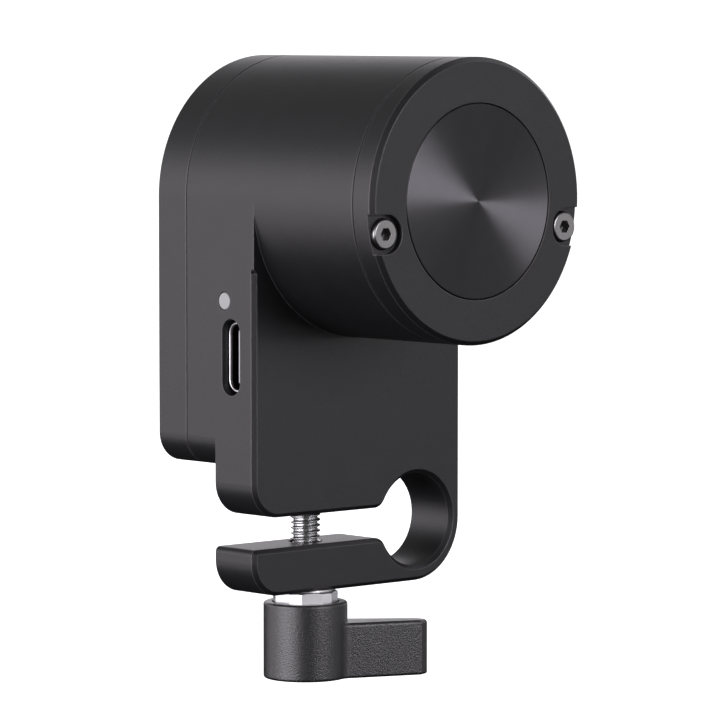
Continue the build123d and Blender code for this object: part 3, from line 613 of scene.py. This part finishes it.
PALE_PLASTIC = Finish(
    "pale_plastic", Grain.BLASTED,
    colour=(0.45, 0.45, 0.46), mottle_and_shade=(0.52, 0.52, 0.53), edge_highlight=(0.58, 0.58, 0.59),
    metallic=0.0, roughness=(0.35, 0.5), scale=5000.0, depth=0.000004, edge=0.00005,
)
BLACK_PLASTIC = Finish(
    "black_plastic", Grain.BLASTED,
    colour=(0.018, 0.018, 0.018), mottle_and_shade=(0.024, 0.024, 0.024), edge_highlight=(0.03, 0.03, 0.03),
    metallic=0.0, roughness=(0.4, 0.55), scale=5000.0, depth=0.000005, edge=0.0001,
)
GOLD_CONTACT = Finish(
    "gold_contact", Grain.DRAWN,
    colour=(0.8, 0.58, 0.24), mottle_and_shade=(0.86, 0.66, 0.3), edge_highlight=(0.9, 0.7, 0.35),
    metallic=1.0, roughness=(0.18, 0.3), scale=15000.0, depth=0.000001, edge=0.00002,
)
BOARD_GREEN = Finish(
    "board_green", Grain.BLASTED,
    colour=(0.012, 0.075, 0.035), mottle_and_shade=(0.03, 0.13, 0.06), edge_highlight=(0.4, 0.34, 0.2),
    metallic=0.0, roughness=(0.25, 0.4), scale=3000.0, depth=0.00001, edge=0.0001,
    coat=0.2,
)
FERRITE = Finish(
    "ferrite", Grain.BLASTED,
    colour=(0.05, 0.05, 0.053), mottle_and_shade=(0.075, 0.075, 0.08), edge_highlight=(0.1, 0.1, 0.1),
    metallic=0.4, roughness=(0.45, 0.65), scale=5000.0, depth=0.00001, edge=0.00015,
)
LEAD_SHEATH = Finish(
    "lead_sheath", Grain.BLASTED,
    colour=(0.35, 0.02, 0.015), mottle_and_shade=(0.42, 0.03, 0.02), edge_highlight=(0.45, 0.05, 0.04),
    metallic=0.0, roughness=(0.4, 0.55), scale=3000.0, depth=0.000005, edge=0.0001,
)
LAMINATION = Finish(
    "lamination", Grain.LAYERED,
    colour=(0.25, 0.25, 0.265), mottle_and_shade=(0.34, 0.34, 0.355), edge_highlight=(0.4, 0.4, 0.41),
    metallic=1.0, roughness=(0.3, 0.55), scale=2857.0, depth=0.00003, edge=0.00008,
)
COPPER_WINDING = Finish(
    "copper_winding", Grain.LAYERED,
    colour=(0.5, 0.17, 0.06), mottle_and_shade=(0.6, 0.24, 0.1), edge_highlight=(0.65, 0.3, 0.14),
    metallic=1.0, roughness=(0.2, 0.45), scale=3300.0, depth=0.00008, edge=0.0002,
)
GROUND_STEEL = Finish(
    "ground_steel", Grain.TURNED,
    colour=(0.42, 0.42, 0.44), mottle_and_shade=(0.52, 0.52, 0.54), edge_highlight=(0.62, 0.62, 0.63),
    metallic=1.0, roughness=(0.2, 0.38), scale=7000.0, depth=0.000003, edge=0.00008,
)
PLAIN_ALUMINIUM = Finish(
    "plain_aluminium", Grain.TURNED,
    colour=(0.55, 0.55, 0.57), mottle_and_shade=(0.65, 0.65, 0.67), edge_highlight=(0.75, 0.75, 0.76),
    metallic=1.0, roughness=(0.28, 0.45), scale=5000.0, depth=0.000005, edge=0.0001,
)


def middle(node: str) -> Vector:
    """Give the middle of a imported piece's box."""
    low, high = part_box(node)
    return (Vector(low) + Vector(high)) / 2


@dataclass
class SubAssembly:
    """Group of pieces that belong together.

    Args:
        nodes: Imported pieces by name.
    """

    nodes: dict[str, bpy.types.Object]

    def dress(self, name: str, finish: Finish, axis: Axis = Axis.Y, centre: Vector | None = None) -> None:
        """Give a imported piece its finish.

        Args:
            name: Name of the piece.
            finish: Finish to give it.
            axis: Axis of its relief.
            centre: Point on that axis, or the middle of the piece.
        """
        slots = self.nodes[name].data.materials
        slots.clear()
        slots.append(finish.material(centre or middle(name), axis))
        log.info("%s: %s", name, finish.name)

    def build(self) -> None:
        """Finish the sub-assembly's pieces."""
        raise NotImplementedError


@dataclass
class Casing(SubAssembly):
    """Housing with the barrel, block and rod clamp, and the cover behind it."""

    def build(self) -> None:
        """Finish the housing, the cover and its screws."""
        for name in ("main_housing", "rear_cover"):
            self.dress(name, BLACK_ANODISED)
        self.dress("cover_screws", NICKEL_STEEL)


@dataclass
class Bezel(SubAssembly):
    """End of the barrel: the bezel, its two screws, the spun disc and the sensor behind it."""

    def build(self) -> None:
        """Finish the bezel and what it holds."""
        self.dress("end_cap", BLACK_ANODISED)
        self.dress("spun_disc", SPUN_BLACK)
        self.dress("end_cap_screws", NICKEL_STEEL)
        self.dress("encoder_board", BOARD_GREEN)
        self.dress("encoder_chip", BLACK_PLASTIC)
        self.dress("encoder_magnet", FERRITE)


@dataclass
class Electronics(SubAssembly):
    """Socket and light window in the left side, and the control board behind them."""

    def build(self) -> None:
        """Finish the socket, the window and the board with its pieces."""
        self.dress("usb_shell", SHELL_STEEL, Axis.X)
        self.dress("usb_tongue", PALE_PLASTIC, Axis.X)
        self.dress("usb_contacts", GOLD_CONTACT, Axis.X)
        self.dress("light_pipe", CLEAR_PLASTIC, Axis.X)
        self.dress("status_led", CLEAR_PLASTIC)
        self.dress("control_board", BOARD_GREEN)
        self.dress("board_screws", NICKEL_STEEL)
        self.dress("power_inductor", FERRITE)
        for name in ("controller_chip", "driver_chip", "motor_connector"):
            self.dress(name, BLACK_PLASTIC)
        self.dress("motor_leads", LEAD_SHEATH)


@dataclass
class DriveTrain(SubAssembly):
    """Motor, planetary stage, bearings and the drive gear behind the cover.

    Args:
        nodes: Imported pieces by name.
        planets: Number of planet gears.
    """

    planets: int = 3

    def build(self) -> None:
        """Finish the motor and the gears."""
        axis = middle("rotor_shaft")
        for name in ("stator_core", "rotor_core"):
            self.dress(name, LAMINATION)
        self.dress("stator_windings", COPPER_WINDING)
        self.dress("rotor_magnets", FERRITE)
        self.dress("motor_bulkhead", PLAIN_ALUMINIUM)
        for name in (
            "rotor_shaft",
            "sun_gear",
            "ring_gear",
            "gearbox_dowels",
            "planet_pins",
            "planet_carrier",
        ):
            self.dress(name, GROUND_STEEL, centre=axis)
        for index in range(self.planets):
            self.dress(f"planet_gear_{index + 1}", GROUND_STEEL)
        for stage in ("motor", "output"):
            for race in ("outer", "inner"):
                self.dress(f"{stage}_bearing_{race}_races", GROUND_STEEL, centre=axis)
        self.dress("drive_gear", BLACK_PLASTIC)
        self.dress("gear_washer", LIT_STEEL)
        self.dress("gear_screw", NICKEL_STEEL)


@dataclass
class ClampLever(SubAssembly):
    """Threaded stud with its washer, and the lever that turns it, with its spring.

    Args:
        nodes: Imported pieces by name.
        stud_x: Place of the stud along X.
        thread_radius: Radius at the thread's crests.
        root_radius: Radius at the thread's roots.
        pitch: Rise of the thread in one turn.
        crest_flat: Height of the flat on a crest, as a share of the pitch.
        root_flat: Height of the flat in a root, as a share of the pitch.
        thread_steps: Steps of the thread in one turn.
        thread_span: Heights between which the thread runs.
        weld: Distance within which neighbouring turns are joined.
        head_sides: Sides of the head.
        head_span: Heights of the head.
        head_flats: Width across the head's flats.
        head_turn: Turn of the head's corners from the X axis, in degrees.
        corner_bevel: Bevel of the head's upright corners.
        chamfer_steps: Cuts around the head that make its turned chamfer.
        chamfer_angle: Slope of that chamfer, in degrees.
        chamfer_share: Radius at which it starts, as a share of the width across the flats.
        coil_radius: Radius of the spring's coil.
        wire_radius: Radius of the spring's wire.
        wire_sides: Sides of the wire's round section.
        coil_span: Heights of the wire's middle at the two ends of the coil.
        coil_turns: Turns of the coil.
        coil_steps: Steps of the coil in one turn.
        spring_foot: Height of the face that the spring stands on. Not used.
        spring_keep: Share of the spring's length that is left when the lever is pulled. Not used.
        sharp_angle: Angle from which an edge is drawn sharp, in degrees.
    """

    # The thread and the head are one steel, painted shaded and lit.
    STUD_FINISHES = (SHADED_THREAD_STEEL, LIT_STEEL)

    # A circle's first corner is drawn on the Y axis.
    FIRST_CORNER = 90.0

    stud_x: float = -0.01585
    thread_radius: float = 0.00194
    root_radius: float = 0.00155
    pitch: float = 0.0007
    crest_flat: float = 0.12
    root_flat: float = 0.25
    thread_steps: int = 40
    thread_span: Span = (-0.0085, 0.00814)
    weld: float = 0.000007
    head_sides: int = 6
    head_span: Span = (-0.01171, -0.00823)
    head_flats: float = 0.00788
    head_turn: float = 31.0
    corner_bevel: float = 0.0009
    chamfer_steps: int = 36
    chamfer_angle: float = 30.0
    chamfer_share: float = 0.48
    coil_radius: float = 0.00235
    wire_radius: float = 0.000248
    wire_sides: int = 16
    coil_span: Span = (-0.01662, -0.01322)
    coil_turns: float = 3.5
    coil_steps: int = 28
    spring_foot: float = -0.01692
    spring_keep: float = 0.6
    sharp_angle: float = 25.0

    def build(self) -> None:
        """Model the stud and the spring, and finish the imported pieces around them."""
        self._stud()
        self._spring()
        self.dress("thrust_washer", LIT_STEEL, Axis.Z)
        self.dress("lever_screw", NICKEL_STEEL, Axis.Z)
        self.dress("clamp_lever", TEXTURED_BLACK, Axis.Z)

    def _link(
        self, name: str, shape: bmesh.types.BMesh, finishes: tuple[Finish, ...], node: str
    ) -> bpy.types.Object:
        """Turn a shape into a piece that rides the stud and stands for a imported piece.

        Args:
            name: Name of the piece.
            shape: Its mesh, which is freed.
            finishes: Finishes, in the order of the numbers that its faces carry.
            node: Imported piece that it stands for.

        Returns:
            The new object.
        """
        bmesh.ops.recalc_face_normals(shape, faces=shape.faces)
        mesh = bpy.data.meshes.new(name)
        shape.to_mesh(mesh)
        shape.free()
        mesh.shade_smooth()
        mesh.set_sharp_from_angle(angle=math.radians(self.sharp_angle))
        for finish in finishes:
            mesh.materials.append(finish.material(self._on_axis(0.0), Axis.Z))
        piece = bpy.data.objects.new(name, mesh)
        bpy.context.scene.collection.objects.link(piece)
        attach(piece, "clamp_stud")
        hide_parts(node)
        log.info("%s: %d faces", name, len(mesh.polygons))
        return piece

    def _stud(self) -> None:
        """Model the threaded stud with its head."""
        shape = bmesh.new()
        self._thread(shape)
        self._head(shape)
        stud = self._link("clamp_stud", shape, self.STUD_FINISHES, "clamp_screw")

    def _spring(self) -> None:
        """Model the spring in the lever's hub."""
        low, high = self.coil_span
        steps = round(self.coil_turns * self.coil_steps)
        shape = bmesh.new()
        upright = Matrix.Rotation(math.pi / 2, 4, "X")
        start = Matrix.Translation((self.stud_x + self.coil_radius, 0.0, low)) @ upright
        bmesh.ops.create_circle(shape, segments=self.wire_sides, radius=self.wire_radius, matrix=start)
        section = shape.verts[:] + shape.edges[:]
        self._wind(shape, section, (high - low) / steps, self.coil_turns, steps)
        bmesh.ops.holes_fill(shape, edges=[edge for edge in shape.edges if edge.is_boundary])
        spring = self._link("spring_coil", shape, (SPRING_STEEL,), "lever_spring")
        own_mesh(spring)

    def _thread(self, shape: bmesh.types.BMesh) -> None:
        """Add the threaded rod, wound from one pitch of its section.

        Args:
            shape: Mesh that takes the rod.
        """
        low, high = self.thread_span
        start = low - self.pitch
        section = (
            (self.root_radius, 0.0),
            (self.root_radius, self.root_flat / 2),
            (self.thread_radius, (1.0 - self.crest_flat) / 2),
            (self.thread_radius, (1.0 + self.crest_flat) / 2),
            (self.root_radius, 1.0 - self.root_flat / 2),
            (self.root_radius, 1.0),
        )
        points = [
            shape.verts.new((self.stud_x + radius, 0.0, start + share * self.pitch))
            for radius, share in section
        ]
        profile = [shape.edges.new(pair) for pair in zip(points, points[1:])]
        turns = math.ceil((high - start) / self.pitch) + 1
        lift = self.pitch / self.thread_steps
        self._wind(shape, points + profile, lift, turns, self.thread_steps * turns)
        bmesh.ops.remove_doubles(shape, verts=shape.verts, dist=self.weld)
        for height, up in ((low, -1.0), (high, 1.0)):
            self._cut_off(shape, self._on_axis(height), Vector((0.0, 0.0, up)))

    def _head(self, shape: bmesh.types.BMesh) -> None:
        """Add the hexagonal head with its turned chamfers.

        Args:
            shape: Mesh that takes the head.
        """
        low, high = self.head_span
        head = bmesh.new()
        turn = Matrix.Rotation(math.radians(self.head_turn - self.FIRST_CORNER), 4, "Z")
        base = Matrix.Translation(self._on_axis(low)) @ turn
        reach = self.head_flats / 2 / math.cos(math.pi / self.head_sides)
        bmesh.ops.create_circle(head, cap_ends=True, segments=self.head_sides, radius=reach, matrix=base)
        grown = bmesh.ops.extrude_face_region(head, geom=head.faces[:], use_keep_orig=True)
        top = [item for item in grown["geom"] if isinstance(item, bmesh.types.BMVert)]
        bmesh.ops.translate(head, verts=top, vec=(0.0, 0.0, high - low))
        corners = [
            edge for edge in head.edges if abs(edge.verts[0].co.z - edge.verts[1].co.z) > self.weld
        ]
        bmesh.ops.bevel(head, geom=corners, offset=self.corner_bevel, affect="EDGES", segments=1)
        for height, up in ((low, -1.0), (high, 1.0)):
            self._turn_off(head, height, up)
        for face in head.faces:
            face.material_index = self.STUD_FINISHES.index(LIT_STEEL)
        made = bpy.data.meshes.new("head")
        head.to_mesh(made)
        head.free()
        shape.from_mesh(made)
        bpy.data.meshes.remove(made)

    def _turn_off(self, head: bmesh.types.BMesh, height: float, up: float) -> None:
        """Turn the corners at one end of the head off, as on a lathe.

        Args:
            head: Mesh of the head alone.
            height: Height of the end.
            up: 1 for the upper end, -1 for the lower end.
        """
        upward = Vector((0.0, 0.0, up / math.tan(math.radians(self.chamfer_angle))))
        for step in range(self.chamfer_steps):
            angle = WHOLE_TURN * step / self.chamfer_steps
            outward = Vector((math.cos(angle), math.sin(angle), 0.0))
            start = self._on_axis(height) + outward * self.head_flats * self.chamfer_share
            self._cut_off(head, start, outward + upward)

    def _on_axis(self, height: float) -> Vector:
        """Give the point on the stud's axis at a height."""
        return Vector((self.stud_x, 0.0, height))

    def _wind(self, shape: bmesh.types.BMesh, section: list, lift: float, turns: float, steps: int) -> None:
        """Wind a section about the stud's axis.

        Args:
            shape: Mesh that holds the section.
            section: Corners and edges of the section.
            lift: Rise in each step.
            turns: Turns about the axis.
            steps: Steps in all.
        """
        bmesh.ops.spin(
            shape,
            geom=section,
            cent=self._on_axis(0.0),
            axis=(0.0, 0.0, 1.0),
            dvec=(0.0, 0.0, lift),
            angle=WHOLE_TURN * turns,
            steps=steps,
        )

    def _cut_off(self, shape: bmesh.types.BMesh, point: Vector, outward: Vector) -> None:
        """Cut off what lies outside a plane and close the cut.

        Args:
            shape: Mesh to cut.
            point: Point on the plane.
            outward: Direction of the side that goes.
        """
        cut = bmesh.ops.bisect_plane(
            shape,
            geom=shape.verts[:] + shape.edges[:] + shape.faces[:],
            plane_co=point,
            plane_no=outward,
            clear_outer=True,
        )
        rim = [item for item in cut["geom_cut"] if isinstance(item, bmesh.types.BMEdge)]
        bmesh.ops.edgeloop_fill(shape, edges=rim)


@dataclass(frozen=True)
class Softbox:
    """Soft rectangular light.

    Args:
        name: Name of the light.
        place: Where its middle stands.
        size: Width and height.
        power: Power in watts.
        colour: Colour of the light.
    """

    name: str
    place: Place
    size: Span
    power: float
    colour: Colour = (1.0, 0.955, 1.03)

    def build(self, target: Vector) -> None:
        """Add the light, facing a point.

        Args:
            target: Point that it faces.
        """
        light = bpy.data.lights.new(self.name, "AREA")
        light.shape = "RECTANGLE"
        light.size, light.size_y = self.size
        light.energy = self.power
        light.color = self.colour
        lamp = bpy.data.objects.new(self.name, light)
        lamp.location = self.place
        lamp.rotation_euler = (target - lamp.location).to_track_quat("-Z", "Y").to_euler()
        bpy.context.scene.collection.objects.link(lamp)


# Each light stands where the camera sees it mirrored: the side light in the hub, the fill light in the left
# side, the front light in the disc and the handle, the right light in the front face, the top light in the
# bezel's chamfer and the back light along the tops of the barrel and the clamp arm. The far light only
# fills the right side.
LIGHTS = (
    Softbox("side_light", (-0.76, 0.04, 0.08), (0.8, 0.5), 6.3),
    Softbox("fill_light", (-0.496, 0.635, 0.02), (0.6, 0.56), 1.27),
    Softbox("front_light", (0.0735, -0.79, 0.18), (0.45, 0.32), 3.0),
    Softbox("right_light", (0.5, -0.61, -0.03), (0.7, 0.24), 0.3),
    Softbox("far_light", (0.76, 0.2, 0.1), (0.5, 0.5), 0.25),
    Softbox("top_light", (0.51, -0.055, 0.64), (0.45, 0.45), 0.5),
    Softbox("back_light", (0.53, 0.59, 0.24), (0.8, 0.35), 0.85),
)


@dataclass
class Studio:
    """White studio: floor, sky, soft lights and the camera.

    Args:
        floor_height: Height of the floor.
        floor_half: Half the width of the floor.
        floor_tone: Tone of the floor's paint.
        floor_roughness: Roughness of the floor's paint.
        floor_glow: Light that the floor gives by itself.
        sky: Brightness of the sky at heights from 0, straight down, through 0.5 to 1, straight up.
        camera_place: Where the camera stands.
        camera_turn: Its turns about X, Y and Z in degrees.
        lens: Focal length in millimetres.
        sensor: Width of the film in millimetres.
        clip: Nearest and farthest distance that the camera sees.
        target: Point that the lights face.
    """

    floor_height: float = -0.05
    floor_half: float = 30.0
    floor_tone: float = 0.9
    floor_roughness: float = 0.9
    floor_glow: float = 1.0
    sky: tuple[Span, ...] = (
        (0.0, 0.01),
        (0.478, 0.02),
        (0.487, 1.05),
        (0.505, 1.05),
        (0.515, 0.5),
        (1.0, 0.1),
    )
    camera_place: Place = (-0.403707, -0.435164, 0.065012)
    camera_turn: Place = (85.719, 0.0, -42.4)
    lens: float = 228.035
    sensor: float = 36.0
    clip: Span = (0.01, 100.0)
    target: Place = (-0.0105, 0.0, 0.025)

    def build(self) -> None:
        """Set up the floor, the sky, the lights and the camera."""
        self._floor()
        self._sky()
        for light in LIGHTS:
            light.build(Vector(self.target))
        self._camera()

    def _floor(self) -> None:
        """Add the floor, which is seen but neither throws light back nor stops the lights' lower part."""
        shape = bmesh.new()
        lift = Matrix.Translation((0.0, 0.0, self.floor_height))
        bmesh.ops.create_grid(shape, x_segments=1, y_segments=1, size=self.floor_half, matrix=lift)
        mesh = bpy.data.meshes.new("floor")
        shape.to_mesh(mesh)
        shape.free()
        paint = bpy.data.materials.new("floor_paint")
        paint.use_nodes = True
        wiring = Wiring(paint.node_tree)
        shader = paint.node_tree.nodes["Principled BSDF"]
        wiring.feed(shader.inputs["Base Color"], grey(self.floor_tone))
        wiring.feed(shader.inputs["Roughness"], self.floor_roughness)
        wiring.feed(shader.inputs["Emission Color"], grey(1.0))
        wiring.feed(shader.inputs["Emission Strength"], self.floor_glow)
        mesh.materials.append(paint)
        floor = bpy.data.objects.new("floor", mesh)
        floor.visible_diffuse = False
        floor.visible_glossy = False
        floor.visible_shadow = False
        bpy.context.scene.collection.objects.link(floor)

    def _sky(self) -> None:
        """Set up a sky that is white at the horizon, dimmer above and dark below."""
        world = bpy.data.worlds.new("studio_sky")
        bpy.context.scene.world = world
        world.use_nodes = True
        world.node_tree.nodes.clear()
        wiring = Wiring(world.node_tree)
        place = wiring.add("ShaderNodeTexCoord")
        height = wiring.split(place.outputs["Generated"]).outputs["Z"]
        ramp = wiring.add("ShaderNodeValToRGB")
        wiring.feed(ramp.inputs[0], wiring.remap(height, (-1.0, 1.0)))
        steps = ramp.color_ramp.elements
        # New steps start in the middle of the ramp and are then put in their places.
        while len(steps) < len(self.sky):
            steps.new(0.5)
        for step, (at, level) in zip(steps, self.sky):
            step.position = at
            step.color = (*grey(level), OPAQUE)
        glow = wiring.add("ShaderNodeBackground", {"Color": ramp.outputs[0]})
        wiring.add("ShaderNodeOutputWorld", {"Surface": glow.outputs[0]})

    def _camera(self) -> None:
        """Add the camera and set the plain view of colours."""
        lens = bpy.data.cameras.new("camera")
        lens.lens = self.lens
        lens.sensor_width = self.sensor
        lens.clip_start, lens.clip_end = self.clip
        camera = bpy.data.objects.new("camera", lens)
        camera.location = self.camera_place
        camera.rotation_euler = [math.radians(turn) for turn in self.camera_turn]
        bpy.context.scene.collection.objects.link(camera)
        bpy.context.scene.camera = camera
        bpy.context.scene.view_settings.view_transform = "Standard"


def main() -> None:
    """Load the frame, finish each sub-assembly and set up the studio."""
    logging.basicConfig(level=logging.INFO, format="%(name)s %(message)s")
    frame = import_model()
    for assembly in (Casing, Bezel, Electronics, DriveTrain, ClampLever):
        assembly(frame["nodes"]).build()
    Studio().build()


if __name__ == "__main__":
    main()
